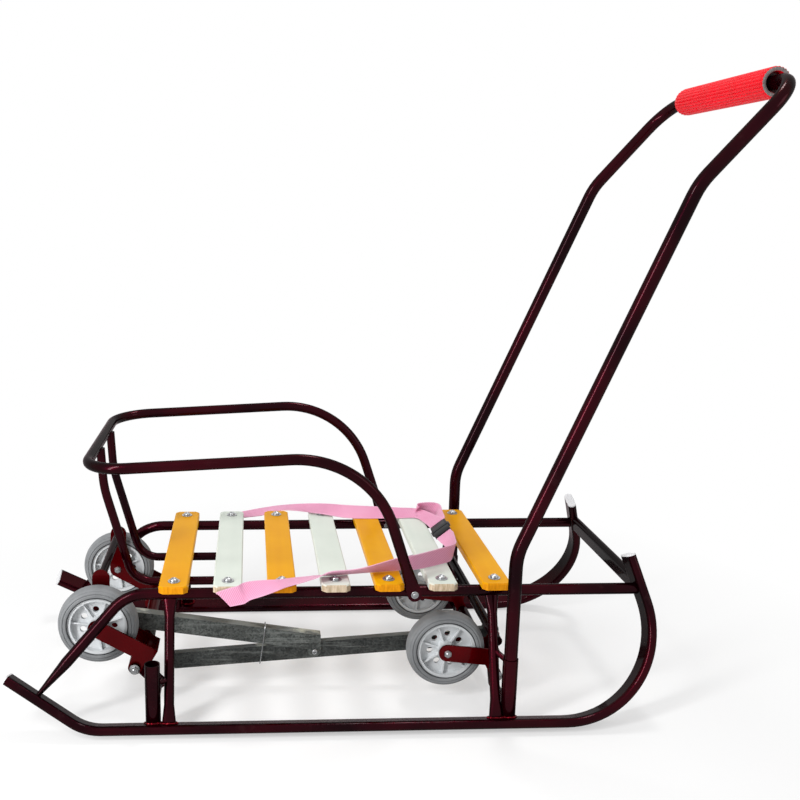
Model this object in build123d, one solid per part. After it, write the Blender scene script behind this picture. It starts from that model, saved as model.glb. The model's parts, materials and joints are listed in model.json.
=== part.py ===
from build123d import *
import math
import os

os.makedirs("parts", exist_ok=True)

# Clearances
RUN_FIT = 0.05           # radial play of a pin in its bore
SLIDE_FIT = 0.10         # radial play of the handle in its sockets
LINK_PLAY = 2.4          # extra radius of the link's front hole, taken up as the wheels come down

# Side frames: flat oval runner below, round seat rail above, in a plane leaning inwards
LEAN = math.radians(20.2)
RUNNER_HALF = 206.7      # runner centre line from the middle plane
RUNNER_W, RUNNER_T = 34.0, 13.0
RUNNER_Z = RUNNER_T / 2 + (RUNNER_W - RUNNER_T) / 2 * math.sin(LEAN)
CAP_LIP = 2.0            # end plug standing out of the tube
RAIL_R = 8.0
RAIL_S = 182.3           # rail above the runner, measured in the leaning plane
RAIL_HALF = RUNNER_HALF - RAIL_S * math.sin(LEAN)
RAIL_Z = RUNNER_Z + RAIL_S * math.cos(LEAN)
POST_R = 7.0
PRESS_W, PRESS_T, PRESS_L = 21.0, 8.0, 32.0   # pressed ends of the posts
REAR_POST_X, FRONT_POST_X = -139.0, 314.0

# Runner line in the leaning plane: along the sled, then up from the straight
TAIL_X, TAIL_S = -359.0, 69.4
TAIL_BEND_X, TAIL_BEND_R = -252.0, 75.0
NOSE_X, NOSE_R = 410.0, 128.0
NOSE_BACK = math.radians(16.5)
NOSE_RISE = 46.3         # tip of the runner above the rail, in the leaning plane
NOSE_STRAIGHT = (RAIL_S + NOSE_RISE - NOSE_R * (1 + math.sin(NOSE_BACK))) / math.cos(NOSE_BACK)

# Rail line
RAIL_BEND_X, RAIL_BEND_R = -199.3, 60.0
RAIL_FOOT_X, RAIL_FOOT_S = -321.0, 43.6
RAIL_PRESS_W, RAIL_PRESS_T, RAIL_PRESS_L = 21.0, 5.0, 62.0

# Handle sockets and handle
SOCKET_IN = 9.7          # socket inside the runner's centre line
SOCKET_HALF = RUNNER_HALF - SOCKET_IN
SOCKET_R, SOCKET_TOP, SOCKET_FLOOR = 10.5, 102.0, 21.5
HANDLE_R = 9.2
SOCKET_BORE = HANDLE_R + SLIDE_FIT
REAR_SOCKET_X, FRONT_SOCKET_X = -161.0, 332.6
SOCKET_LEAN = math.radians(0.3)
STUB_R, REAR_TIE_Z, FRONT_TIE_Z = 4.0, 72.0, 104.0
HANDLE_LIFT, HANDLE_IN = 2.5, 8.0   # leg ends over the socket floor, and bar ends inside the sockets
HANDLE_FOOT_Z = SOCKET_FLOOR + HANDLE_LIFT
HANDLE_TOP_HALF = SOCKET_HALF - HANDLE_IN
HANDLE_KNEE_Z, HANDLE_KNEE_R = 253.5, 90.0
HANDLE_ELBOW_X, HANDLE_ELBOW_Z, HANDLE_ELBOW_R = 535.0, 739.5, 100.0
HANDLE_BAR_X, HANDLE_BAR_Z, HANDLE_BAR_R = 649.0, 867.5, 48.0
GRIP_R, GRIP_HALF = 20.0, 131.0

# Seat
SLAT_OVERHANG = 21.3
SLAT_W, SLAT_L, SLAT_T = 40.0, 2 * (RAIL_HALF + SLAT_OVERHANG), 10.0
SLAT_CORNER, SLAT_EDGE = 6.0, 1.5
SLAT_X0, SLAT_PITCH, SLAT_COUNT = -133.0, 75.0, 7
SEAT_CROSS_X, SEAT_CROSS_R = -52.0, 8.0

# Backrest hoop and its two posts
HOOP_R = 7.6
HOOP_FOOT_X, HOOP_FOOT_Z = 202.5, 181.0
HOOP_OUT = 26.3          # hoop outside the rail
HOOP_TOP_Y = RAIL_HALF + HOOP_OUT
HOOP_TOP_X, HOOP_TOP_Z, HOOP_TOP_R = 134.0, 386.0, 140.0
HOOP_BACK_X, HOOP_BACK_Z, HOOP_BACK_R = -248.0, 367.0, 58.0
HOOP_TAB_R, HOOP_TAB_T, HOOP_PRESS_L = 10.0, 7.0, 46.0   # pressed feet bolted outside the rails
BACK_POST_R, BACK_POST_Y, BACK_POST_Z = 6.3, 0.348 * RAIL_HALF, 161.7
BACK_KNEE_DX, BACK_KNEE_DZ, BACK_KNEE_R = 9.0, -59.0, 160.0
BACK_FOOT_X, BACK_FOOT_R = -200.0, 36.0

# Footrest bar
FOOT_W, FOOT_T = 30.0, 12.0
FOOT_RISE = 1.7
FOOT_S = RAIL_S + FOOT_RISE

# Wheels and forks
WHEEL_R, WHEEL_W = 57.0, 27.0
WHEEL_IN = 30.7          # wheel inside the rail
WHEEL_Y = RAIL_HALF - WHEEL_IN
RIM_R = 42.3
AXLE_R, NUT_R, NUT_T = 4.0, 7.0, 4.5
BOSS_R, RIM_T, WEB_T, RIB_T = 13.0, 4.0, 5.0, 2.0
HUB_HOLES, HUB_HOLE_R, HUB_HOLE_PCR = 7, 4.7, 23.0
REAR_HUB_TURN, FRONT_HUB_TURN = 44.6, 32.6   # first hole from the level, in degrees
FORK_W, FORK_T = 25.0, 3.0
FORK_INSIDE = 35.0       # clear width between the arms
REAR_REACH, FRONT_REACH = 75.5, 76.2     # hub to pivot along the fork
REAR_BASE, FRONT_BASE = 91.5, 75.0       # hub to the outside of the fork's base
PIVOT_BELOW = 26.0
CROSS_SHORT = 2.0                        # rear cross tube short of the pivot, along the fork
REAR_BUSH_R, FRONT_BUSH_R, PIVOT_R = 10.0, 8.0, 5.0
HEAD_R, HEAD_T, HEAD_GAP = 7.8, 5.0, 0.6   # head of the pivot pin outside the fork
REAR_PIVOT_X, REAR_PIVOT_Z = -192.0, 63.7
FRONT_PIVOT_X, FRONT_PIVOT_Z = 331.0, 44.3
REAR_ARM, FRONT_ARM = math.radians(-29.9), math.radians(-6.5)
CROSS_R = 9.0
PEDAL_DX, PEDAL_DZ, PEDAL_R = 3.0, 62.0, 6.0
LUG_T, LUG_GAP = 5.0, 11.0
REAR_STUB_X, REAR_STUB_Z = -161.0, 31.0
FRONT_STUB_X, FRONT_STUB_Z = 334.0, 20.5
CARRIER_R = 6.0
TIE_X, TIE_Z, TIE_R = 320.0, 114.0, 7.0   # bar between the front posts

# Link between the two wheel carriages
LINK_IN = 43.0           # link inside the right wheels
LINK_Y = LINK_IN - WHEEL_Y
LINK_W, LINK_H, LINK_T = 16.0, 25.0, 2.5
LINK_SLEEVE_R = 12.5
CHANNEL_X0, CHANNEL_X1 = -199.0, 78.0
CHANNEL_Z_AT0, CHANNEL_SLOPE = 82.9, math.radians(-8.6)
BAR_X0 = -141.0
BAR_Z_AT0, BAR_SLOPE = 54.3, math.radians(4.05)
LINK_BOLT_X, LINK_BOLT_R, LINK_LUG = 68.7, 4.0, 16.0
CRANK_DX, CRANK_DZ, CRANK_PIN_R, CRANK_R = 4.11, 44.77, 4.0, 8.0
CRANK_EYE_R, CRANK_EYE_DROP = 12.0, 1.75   # the hole lies this far under the pin while the wheels are up


def side(x, s, hand, out=0.0):
    """Point of a leaning side frame: along, up the plane, and out from it."""
    y = RUNNER_HALF - s * math.sin(LEAN) + out * math.cos(LEAN)
    return Vector(x, hand * y, RUNNER_Z + s * math.cos(LEAN) + out * math.sin(LEAN))


def bent(points, radii):
    """Straight runs through the points with a round bend at each inner one."""
    pts = [Vector(*p) for p in points]
    edges, start = [], pts[0]
    for a, b, c, r in zip(pts, pts[1:], pts[2:], radii):
        u, v = (a - b).normalized(), (c - b).normalized()
        half = math.acos(u.dot(v)) / 2
        p, q = b + u * (r / math.tan(half)), b + v * (r / math.tan(half))
        middle = b + (u + v).normalized() * (r / math.sin(half) - r)
        edges += [Edge.make_line(start, p), Edge.make_three_point_arc(p, middle, q)]
        start = q
    edges.append(Edge.make_line(start, pts[-1]))
    return Wire(edges)


def swept(path, profile, x_dir):
    """Profile carried along a path from its start."""
    return sweep(Plane(origin=path @ 0, x_dir=x_dir, z_dir=path % 0) * profile, path=path)


def rod(a, b, radius):
    """Round bar between two points."""
    a, b = Vector(*a), Vector(*b)
    return extrude(Plane(origin=a, z_dir=b - a) * Circle(radius), (b - a).length)


def plate(y0, y1, outline):
    """Flat plate between two cross positions from an outline drawn in X and Z."""
    face = Plane(origin=(0, y0, 0), x_dir=(1, 0, 0), z_dir=(0, -1, 0)) * outline
    return extrude(face, -(y1 - y0))


def strip(a, b, radius):
    """Round-ended strip outline between two points."""
    a, b = Vector(*a), Vector(*b)
    turn = math.degrees(math.atan2((b - a).Y, (b - a).X))
    return Location((a + b) * 0.5) * Rot(0, 0, turn) * SlotCenterToCenter((b - a).length, 2 * radius)


def pressed(tip, root, radius, wide, thin, along):
    """Tube end that goes from round at its root to a flat oval at its tip."""
    tip, root = Vector(*tip), Vector(*root)
    planes = [Plane(origin=p, x_dir=along, z_dir=tip - root) for p in (root, tip)]
    return loft([planes[0] * Circle(radius), planes[1] * Ellipse(wide / 2, thin / 2)])


pieces = {}


def save(shape, name):
    shape.label = name
    pieces[name] = shape


SIDES = (("right", -1), ("left", 1))


# Side frames
def runner_wire(hand):
    joint = TAIL_BEND_X
    top_x = NOSE_X + NOSE_R * math.cos(NOSE_BACK)
    top_s = NOSE_R + NOSE_R * math.sin(NOSE_BACK)
    tip = (top_x - NOSE_STRAIGHT * math.sin(NOSE_BACK), top_s + NOSE_STRAIGHT * math.cos(NOSE_BACK))
    low = bent([side(TAIL_X, TAIL_S, hand), side(joint, 0, hand), side(NOSE_X, 0, hand)], [TAIL_BEND_R])
    mid_turn = (NOSE_BACK - math.pi / 2) / 2
    mid = side(NOSE_X + NOSE_R * math.cos(mid_turn), NOSE_R + NOSE_R * math.sin(mid_turn), hand)
    curl = Edge.make_three_point_arc(side(NOSE_X, 0, hand), mid, side(top_x, top_s, hand))
    up = Edge.make_line(side(top_x, top_s, hand), side(*tip, hand))
    return Wire(low.edges() + [curl, up])


def rail_wire(hand, foot):
    corner = side(RAIL_BEND_X, RAIL_S, hand)
    over = RAIL_S - NOSE_R - NOSE_R * math.sin(NOSE_BACK)
    end_x = NOSE_X + NOSE_R * math.cos(NOSE_BACK) - over * math.tan(NOSE_BACK)
    return bent([foot, corner, side(end_x, RAIL_S, hand)], [RAIL_BEND_R])


def socket_axis(x, inward):
    """Foot point and unit direction of a handle socket in X and Z."""
    return Vector(x, 0, 0), Vector(inward * math.sin(SOCKET_LEAN), 0, math.cos(SOCKET_LEAN))


def along_socket(x, inward, hand, z):
    foot, way = socket_axis(x, inward)
    p = foot + way * (z / way.Z)
    return Vector(p.X, hand * SOCKET_HALF, z)


runners, rails, posts = {}, {}, {}
for name, hand in SIDES:
    normal = Vector(0, hand * math.cos(LEAN), math.sin(LEAN))
    wire = runner_wire(hand)
    runner = swept(wire, SlotOverall(RUNNER_W, RUNNER_T), normal)
    runners[hand] = runner
    save(runner, f"runner_{name}")
    for end, at in (("rear", 0), ("front", 1)):
        way = (wire % at) * (-1 if at == 0 else 1)
        face = Plane(origin=wire @ at, x_dir=normal, z_dir=way)
        save(extrude(face * SlotOverall(RUNNER_W, RUNNER_T), CAP_LIP), f"runner_cap_{end}_{name}")
    foot, corner = side(RAIL_FOOT_X, RAIL_FOOT_S, hand), side(RAIL_BEND_X, RAIL_S, hand)
    root = foot + (corner - foot).normalized() * RAIL_PRESS_L
    rail = swept(rail_wire(hand, root), Circle(RAIL_R), normal)
    rail = rail + pressed(foot, root, RAIL_R, RAIL_PRESS_W, RAIL_PRESS_T, normal) - runner
    rails[hand] = rail
    save(rail, f"seat_rail_{name}")
    for end, x in (("rear", REAR_POST_X), ("front", FRONT_POST_X)):
        low, high = side(x, PRESS_L, hand), side(x, RAIL_S - PRESS_L, hand)
        post = rod(low, high, POST_R)
        for tip, root in ((side(x, 0, hand), low), (side(x, RAIL_S, hand), high)):
            post += pressed(tip, root, POST_R, PRESS_W, PRESS_T, (1, 0, 0))
        post = post - runner - rail
        posts[end, hand] = post
        save(post, f"post_{end}_{name}")

# Handle sockets with a stub to the post beside each
SOCKETS = (
    ("rear", REAR_SOCKET_X, 1, REAR_POST_X, REAR_TIE_Z),
    ("front", FRONT_SOCKET_X, -1, FRONT_POST_X, FRONT_TIE_Z),
)
sockets = {}
for end, x, inward, post_x, stub_z in SOCKETS:
    for name, hand in SIDES:
        low, high = along_socket(x, inward, hand, RUNNER_Z), along_socket(x, inward, hand, SOCKET_TOP)
        at_post = side(post_x, (stub_z - RUNNER_Z) / math.cos(LEAN), hand)
        tie_z = min(stub_z, SOCKET_TOP - 2 * STUB_R)
        tube = rod(low, high, SOCKET_R)
        tube += rod(along_socket(x, inward, hand, tie_z), at_post, STUB_R)
        tube -= rod(along_socket(x, inward, hand, SOCKET_FLOOR), high + (high - low), SOCKET_BORE)
        tube = tube - runners[hand] - posts[end, hand]
        sockets[end, hand] = rod(low, high, SOCKET_R)
        save(tube, f"socket_{end}_{name}")

# Tie bar between the front posts
tie_half = RUNNER_HALF - (TIE_Z - RUNNER_Z) * math.tan(LEAN)
tie = rod((TIE_X, -tie_half, TIE_Z), (TIE_X, tie_half, TIE_Z), TIE_R)
save(tie - posts["front", -1] - posts["front", 1], "front_tie_bar")

# Footrest bar between the front uprights
foot_over = FOOT_S - NOSE_R - NOSE_R * math.sin(NOSE_BACK)
foot_x = NOSE_X + NOSE_R * math.cos(NOSE_BACK) - foot_over * math.tan(NOSE_BACK)
foot_z = RUNNER_Z + FOOT_S * math.cos(LEAN)
foot_half = RUNNER_HALF - FOOT_S * math.sin(LEAN)
foot_up = Vector(-math.sin(NOSE_BACK), 0, math.cos(NOSE_BACK))
foot_plane = Plane(origin=(foot_x, -foot_half, foot_z), x_dir=foot_up, z_dir=(0, 1, 0))
footrest = extrude(foot_plane * SlotOverall(FOOT_W, FOOT_T), 2 * foot_half)
save(footrest - runners[-1] - runners[1] - rails[-1] - rails[1], "footrest_bar")

# Seat
seat_cross_z = BACK_POST_Z + BACK_POST_R + SEAT_CROSS_R
cross = rod((SEAT_CROSS_X, -RAIL_HALF, seat_cross_z), (SEAT_CROSS_X, RAIL_HALF, seat_cross_z), SEAT_CROSS_R)
save(cross - rails[-1] - rails[1], "seat_cross_tube")
for i in range(SLAT_COUNT):
    board = Box(SLAT_W, SLAT_L, SLAT_T, align=(Align.CENTER, Align.CENTER, Align.MIN))
    board = chamfer(board.edges().filter_by(Axis.Z), SLAT_CORNER)
    board = chamfer(board.faces().sort_by(Axis.Z)[-1].edges(), SLAT_EDGE)
    save(Pos(SLAT_X0 + i * SLAT_PITCH, 0, RAIL_Z + RAIL_R) * board, f"slat_{i + 1}")

# Backrest
hoop_foot_y = RAIL_HALF + RAIL_R + HOOP_TAB_T / 2
roots, tips = {}, {}
for name, hand in SIDES:
    foot = Vector(HOOP_FOOT_X, hand * hoop_foot_y, HOOP_FOOT_Z)
    top = Vector(HOOP_TOP_X, hand * HOOP_TOP_Y, HOOP_TOP_Z)
    roots[hand] = foot + (top - foot).normalized() * HOOP_PRESS_L
    tips[hand] = foot + (top - foot).normalized() * HOOP_TAB_R
hoop = swept(bent([roots[-1], (HOOP_TOP_X, -HOOP_TOP_Y, HOOP_TOP_Z),
                   (HOOP_BACK_X, -HOOP_TOP_Y, HOOP_BACK_Z), (HOOP_BACK_X, HOOP_TOP_Y, HOOP_BACK_Z),
                   (HOOP_TOP_X, HOOP_TOP_Y, HOOP_TOP_Z), roots[1]],
                  [HOOP_TOP_R, HOOP_BACK_R, HOOP_BACK_R, HOOP_TOP_R]), Circle(HOOP_R), (0, 1, 0))
for name, hand in SIDES:
    leg = tips[hand] - roots[hand]
    hoop += pressed(tips[hand], roots[hand], HOOP_R, 2 * HOOP_TAB_R, HOOP_TAB_T, Vector(0, 1, 0).cross(leg))
    hoop += plate(hand * (hoop_foot_y - HOOP_TAB_T / 2), hand * (hoop_foot_y + HOOP_TAB_T / 2),
                  strip((HOOP_FOOT_X, HOOP_FOOT_Z), (tips[hand].X, tips[hand].Z), HOOP_TAB_R))
save(hoop - rails[-1] - rails[1], "backrest_hoop")
for name, hand in SIDES:
    y = hand * BACK_POST_Y
    knee = (HOOP_BACK_X + BACK_KNEE_DX, y, HOOP_BACK_Z + BACK_KNEE_DZ)
    path = bent([(HOOP_BACK_X + BACK_POST_R, y, HOOP_BACK_Z), knee, (BACK_FOOT_X, y, BACK_POST_Z),
                 (SEAT_CROSS_X + SEAT_CROSS_R, y, BACK_POST_Z)], [BACK_KNEE_R, BACK_FOOT_R])
    save(swept(path, Circle(BACK_POST_R), (0, 1, 0)) - hoop, f"backrest_post_{name}")


# Wheel carriages
def from_hub(hub, arm, along, above):
    """Point given along a fork's arm and across it, in X and Z."""
    return (hub[0] + along * math.cos(arm) - above * math.sin(arm),
            hub[1] + along * math.sin(arm) + above * math.cos(arm))


def hub_of(pivot, arm, reach):
    away = from_hub((0, 0), arm, reach, -PIVOT_BELOW)
    return (pivot[0] - away[0], pivot[1] - away[1])


def fork(hand, pivot, hub, arm, base_at, bush, extra):
    """Strip bent round the wheel, a bush under each arm, and an outline added to the inner arm."""
    inner, outer = WHEEL_Y - FORK_INSIDE / 2, WHEEL_Y + FORK_INSIDE / 2
    half = FORK_W / 2
    turn = math.degrees(arm)
    centre = (*from_hub(hub, arm, base_at / 2, 0), 0)
    straight = Location(centre) * Rot(0, 0, turn) * Rectangle(base_at, FORK_W)
    arm_face = straight + Pos(*hub) * Circle(half) + strip(from_hub(hub, arm, base_at - 2 * bush, 0), pivot, bush)
    shape = plate(hand * outer, hand * (outer + FORK_T), arm_face)
    shape += plate(hand * inner, hand * (inner - FORK_T), arm_face + extra if extra else arm_face)
    middle = (*from_hub(hub, arm, base_at - FORK_T / 2, 0), 0)
    base = Location(middle) * Rot(0, 0, turn) * Rectangle(FORK_T, FORK_W)
    shape += plate(hand * inner, hand * outer, base)
    ends = ((inner - FORK_T, inner + LUG_GAP), (outer - LUG_GAP, outer + FORK_T))
    for y0, y1 in ends:
        shape += rod((pivot[0], hand * y0, pivot[1]), (pivot[0], hand * y1, pivot[1]), bush)
    for centre, radius in ((pivot, PIVOT_R + RUN_FIT), (hub, AXLE_R)):
        shape -= rod((centre[0], hand * (inner - 2 * FORK_T), centre[1]),
                     (centre[0], hand * (outer + 2 * FORK_T), centre[1]), radius)
    return shape


rear_pivot, front_pivot = (REAR_PIVOT_X, REAR_PIVOT_Z), (FRONT_PIVOT_X, FRONT_PIVOT_Z)
rear_hub, front_hub = hub_of(rear_pivot, REAR_ARM, REAR_REACH), hub_of(front_pivot, FRONT_ARM, FRONT_REACH)
inner_face = WHEEL_Y - FORK_INSIDE / 2 - FORK_T
pedal = (rear_hub[0] + PEDAL_DX, rear_hub[1] + PEDAL_DZ)
pedal_arm = strip(rear_hub, pedal, FORK_W / 2)
crank = (FRONT_PIVOT_X + CRANK_DX, FRONT_PIVOT_Z + CRANK_DZ)
crank_arm = strip(from_hub(front_hub, FRONT_ARM, FRONT_BASE - CRANK_R, 0), crank, CRANK_R)
REAR_STUB, FRONT_STUB = (REAR_STUB_X, REAR_STUB_Z), (FRONT_STUB_X, FRONT_STUB_Z)
CARRIAGES = (
    ("rear", rear_pivot, rear_hub, (REAR_ARM, REAR_BASE, REAR_BUSH_R), {-1: pedal_arm, 1: pedal_arm}, REAR_STUB),
    ("front", front_pivot, front_hub, (FRONT_ARM, FRONT_BASE, FRONT_BUSH_R), {-1: crank_arm, 1: None}, FRONT_STUB),
)
HUB_TURNS = {"rear": REAR_HUB_TURN, "front": FRONT_HUB_TURN}
for end, pivot, hub, (arm, base_at, bush), extras, (stub_x, stub_z) in CARRIAGES:
    for name, hand in SIDES:
        save(fork(hand, pivot, hub, arm, base_at, bush, extras[hand]), f"fork_{end}_{name}")
        y_in, y_out = WHEEL_Y - FORK_INSIDE / 2 - FORK_T, WHEEL_Y + FORK_INSIDE / 2 + FORK_T
        ends = (y_in - NUT_T, y_in, y_out, y_out + NUT_T)
        nut_in, arm_in, arm_out, nut_out = [(hub[0], hand * y, hub[1]) for y in ends]
        axle = rod(nut_in, nut_out, AXLE_R) + rod(nut_in, arm_in, NUT_R) + rod(arm_out, nut_out, NUT_R)
        save(axle, f"axle_{end}_{name}")

        # Carrier welded to the socket: stub, lug between the fork's arms, and pivot pin
        lug_in, lug_out = hand * (WHEEL_Y - LUG_T / 2), hand * (WHEEL_Y + LUG_T / 2)
        head = hand * (y_out + HEAD_T)
        carrier = plate(lug_in, lug_out, strip((stub_x, stub_z), pivot, bush))
        carrier += rod((stub_x, lug_in, stub_z), (stub_x, hand * SOCKET_HALF, stub_z), CARRIER_R)
        carrier += rod((pivot[0], hand * (y_in + 0.5), pivot[1]), (pivot[0], head, pivot[1]), PIVOT_R)
        carrier += rod((pivot[0], hand * (y_out + HEAD_GAP), pivot[1]), (pivot[0], head, pivot[1]), HEAD_R)
        save(carrier - sockets[end, hand] - runners[hand], f"pivot_carrier_{end}_{name}")

        # Wheel
        hub_w = WHEEL_W - 4
        bore, inside = AXLE_R + RUN_FIT, RIM_R - RIM_T
        rim = Pos((BOSS_R + inside) / 2, 0) * Rectangle(inside - BOSS_R, WEB_T)
        rim += Pos(RIM_R - RIM_T / 2, 0) * Rectangle(RIM_T, hub_w)
        rim += Pos((bore + BOSS_R) / 2, 0) * Rectangle(BOSS_R - bore, hub_w + 6)
        body = revolve(Plane.XZ * rim, Axis.Z)
        for k in range(HUB_HOLES):
            spoke = Rot(0, 0, HUB_TURNS[end] + k * 360 / HUB_HOLES)
            body -= spoke * Pos(HUB_HOLE_PCR, 0, 0) * Cylinder(HUB_HOLE_R, hub_w)
            between = spoke * Rot(0, 0, 180 / HUB_HOLES)
            body += between * Pos((BOSS_R + inside) / 2, 0, 0) * Box(inside - BOSS_R + 1, RIB_T, hub_w - 8)
        place = Pos(hub[0], hand * WHEEL_Y, hub[1]) * Rot(90, 0, 0)
        save(place * body, f"wheel_hub_{end}_{name}")
        tread = Pos((RIM_R + WHEEL_R) / 2, 0) * Rectangle(WHEEL_R - RIM_R, WHEEL_W)
        tread = fillet(tread.vertices().group_by(Axis.X)[-1], 10)
        save(place * revolve(Plane.XZ * tread, Axis.Z), f"tyre_{end}_{name}")

cross_point = from_hub(rear_hub, REAR_ARM, REAR_REACH - CROSS_SHORT, 0)
CROSS_BARS = (
    ("rear_cross_tube", cross_point, CROSS_R, inner_face),
    ("pedal_bar", pedal, PEDAL_R, inner_face),
    ("front_cross_tube", front_pivot, FRONT_BUSH_R, inner_face),
    ("crank_pin", crank, CRANK_PIN_R, LINK_Y + LINK_W / 2 + 4),
)
for name, (x, z), radius, far in CROSS_BARS:
    save(rod((x, -inner_face, z), (x, far, z), radius), name)


# Link: channel above, bar below, bolt through both
def line_z(x, z0, slope):
    return z0 + x * math.tan(slope)


def bar_outline(x0, x1, z0, slope):
    lo, hi = line_z(x0, z0, slope), line_z(x1, z0, slope)
    lift = LINK_H / 2 / math.cos(slope)
    corners = ((x0, lo - lift), (x1, hi - lift), (x1, hi + lift), (x0, lo + lift))
    return make_face(Polyline(*corners, close=True))


y_near, y_far = LINK_Y - LINK_W / 2, LINK_Y + LINK_W / 2
bolt_z = line_z(LINK_BOLT_X, BAR_Z_AT0, BAR_SLOPE)
eye = (crank[0], crank[1] - CRANK_EYE_DROP)
channel = plate(y_near, y_far, bar_outline(CHANNEL_X0, CHANNEL_X1, CHANNEL_Z_AT0, CHANNEL_SLOPE))
lug = strip((LINK_BOLT_X, bolt_z), (LINK_BOLT_X, bolt_z + LINK_LUG), LINK_H / 2 - LINK_T)
channel += plate(y_near, y_far, lug)
hollow = bar_outline(CHANNEL_X0, CHANNEL_X1, CHANNEL_Z_AT0 - LINK_T, CHANNEL_SLOPE)
hollow += strip((LINK_BOLT_X, bolt_z - LINK_LUG), (LINK_BOLT_X, bolt_z), LINK_H / 2)
channel -= plate(y_near + LINK_T, y_far - LINK_T, hollow)
channel += plate(y_near, y_far, strip(cross_point, (cross_point[0], cross_point[1] + 10), LINK_SLEEVE_R))
channel -= plate(y_near, y_far, Pos(*cross_point) * Circle(CROSS_R + RUN_FIT))
outline = bar_outline(BAR_X0, crank[0], BAR_Z_AT0, BAR_SLOPE) + Pos(*eye) * Circle(CRANK_EYE_R)
bar = plate(y_near + LINK_T, y_far - LINK_T, outline)
channel -= bar
bar -= plate(y_near, y_far, Pos(*eye) * Circle(CRANK_PIN_R + LINK_PLAY))
bolt = rod((LINK_BOLT_X, y_near - 4, bolt_z), (LINK_BOLT_X, y_far + 4, bolt_z), LINK_BOLT_R)
save(channel - bolt, "link_channel")
save(bar - bolt, "link_bar")
save(bolt, "link_bolt")

# Handle
legs = []
for hand in (-1, 1):
    foot, knee = [along_socket(FRONT_SOCKET_X, -1, hand, z) for z in (HANDLE_FOOT_Z, HANDLE_KNEE_Z)]
    elbow = (HANDLE_ELBOW_X, hand * HANDLE_TOP_HALF, HANDLE_ELBOW_Z)
    legs.append([foot, knee, elbow, (HANDLE_BAR_X, hand * HANDLE_TOP_HALF, HANDLE_BAR_Z)])
bends = [HANDLE_KNEE_R, HANDLE_ELBOW_R, HANDLE_BAR_R]
handle = swept(bent(legs[0] + legs[1][::-1], bends + bends[::-1]), Circle(HANDLE_R), (0, 1, 0))
save(handle, "handle")
grip = rod((HANDLE_BAR_X, -GRIP_HALF, HANDLE_BAR_Z), (HANDLE_BAR_X, GRIP_HALF, HANDLE_BAR_Z), GRIP_R)
grip -= rod((HANDLE_BAR_X, -GRIP_HALF, HANDLE_BAR_Z), (HANDLE_BAR_X, GRIP_HALF, HANDLE_BAR_Z), HANDLE_R)
save(grip, "grip")

# The origin is the middle of the whole, at ground level
boxes = [shape.bounding_box() for shape in pieces.values()]
middle_x = (min(b.min.X for b in boxes) + max(b.max.X for b in boxes)) / 2
ground = min(b.min.Z for b in boxes)
for name, shape in pieces.items():
    export_step(Pos(-middle_x, 0, -ground) * shape, f"parts/{name}.step")
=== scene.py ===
"""Looks of a child's tubular sled with a push handle and swing-down wheels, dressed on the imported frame."""
import json
import math
import bmesh
import bpy
import numpy as np
from mathutils import Matrix, Vector


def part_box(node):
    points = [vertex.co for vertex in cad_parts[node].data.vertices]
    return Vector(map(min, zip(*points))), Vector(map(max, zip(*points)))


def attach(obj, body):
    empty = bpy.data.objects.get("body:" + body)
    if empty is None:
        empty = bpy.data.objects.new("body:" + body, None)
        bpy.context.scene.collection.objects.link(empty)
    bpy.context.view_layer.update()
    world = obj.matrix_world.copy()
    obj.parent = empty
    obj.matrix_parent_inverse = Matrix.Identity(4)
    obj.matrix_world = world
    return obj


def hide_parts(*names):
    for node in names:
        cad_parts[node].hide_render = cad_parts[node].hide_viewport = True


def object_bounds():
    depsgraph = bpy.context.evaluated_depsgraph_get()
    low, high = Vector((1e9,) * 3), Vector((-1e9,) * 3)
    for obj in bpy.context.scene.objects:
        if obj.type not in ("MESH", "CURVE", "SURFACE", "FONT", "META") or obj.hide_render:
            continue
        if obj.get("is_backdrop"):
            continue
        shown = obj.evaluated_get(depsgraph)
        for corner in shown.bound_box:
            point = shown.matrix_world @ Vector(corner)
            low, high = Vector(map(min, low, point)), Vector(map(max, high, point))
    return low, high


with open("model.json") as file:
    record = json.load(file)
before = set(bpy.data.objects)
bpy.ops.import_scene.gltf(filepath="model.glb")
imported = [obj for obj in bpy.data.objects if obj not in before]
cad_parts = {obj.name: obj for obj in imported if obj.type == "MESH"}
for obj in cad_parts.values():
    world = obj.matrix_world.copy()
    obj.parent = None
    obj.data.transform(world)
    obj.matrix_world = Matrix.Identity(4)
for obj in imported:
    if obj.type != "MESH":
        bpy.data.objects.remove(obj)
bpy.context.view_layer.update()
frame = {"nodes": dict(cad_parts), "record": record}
nodes = frame["nodes"]
# The two sides with the sign of Y there, the two ends, and the webbing's width and thickness in metres
SIDES = (("right", -1.0), ("left", 1.0))
ENDS = ("rear", "front")
STRAP_W, STRAP_T = 0.026, 0.0012


# Shader maths
class Value:
    """A socket in a finish's node tree; operators on it add Math nodes there."""

    def __init__(self, finish, out):
        self.finish, self.out = finish, out

    def maths(self, operation, a, b=0.0):
        return self.finish.node("ShaderNodeMath", {"operation": operation}, {0: a, 1: b})

    def __add__(self, other):
        return self.maths("ADD", self, other)

    def __sub__(self, other):
        return self.maths("SUBTRACT", self, other)

    def __rsub__(self, other):
        return self.maths("SUBTRACT", other, self)

    def __mul__(self, other):
        return self.maths("MULTIPLY", self, other)

    __radd__, __rmul__ = __add__, __mul__

    def wave(self):
        return self.maths("SINE", self)

    def size(self):
        return self.maths("ABSOLUTE", self)


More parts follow.
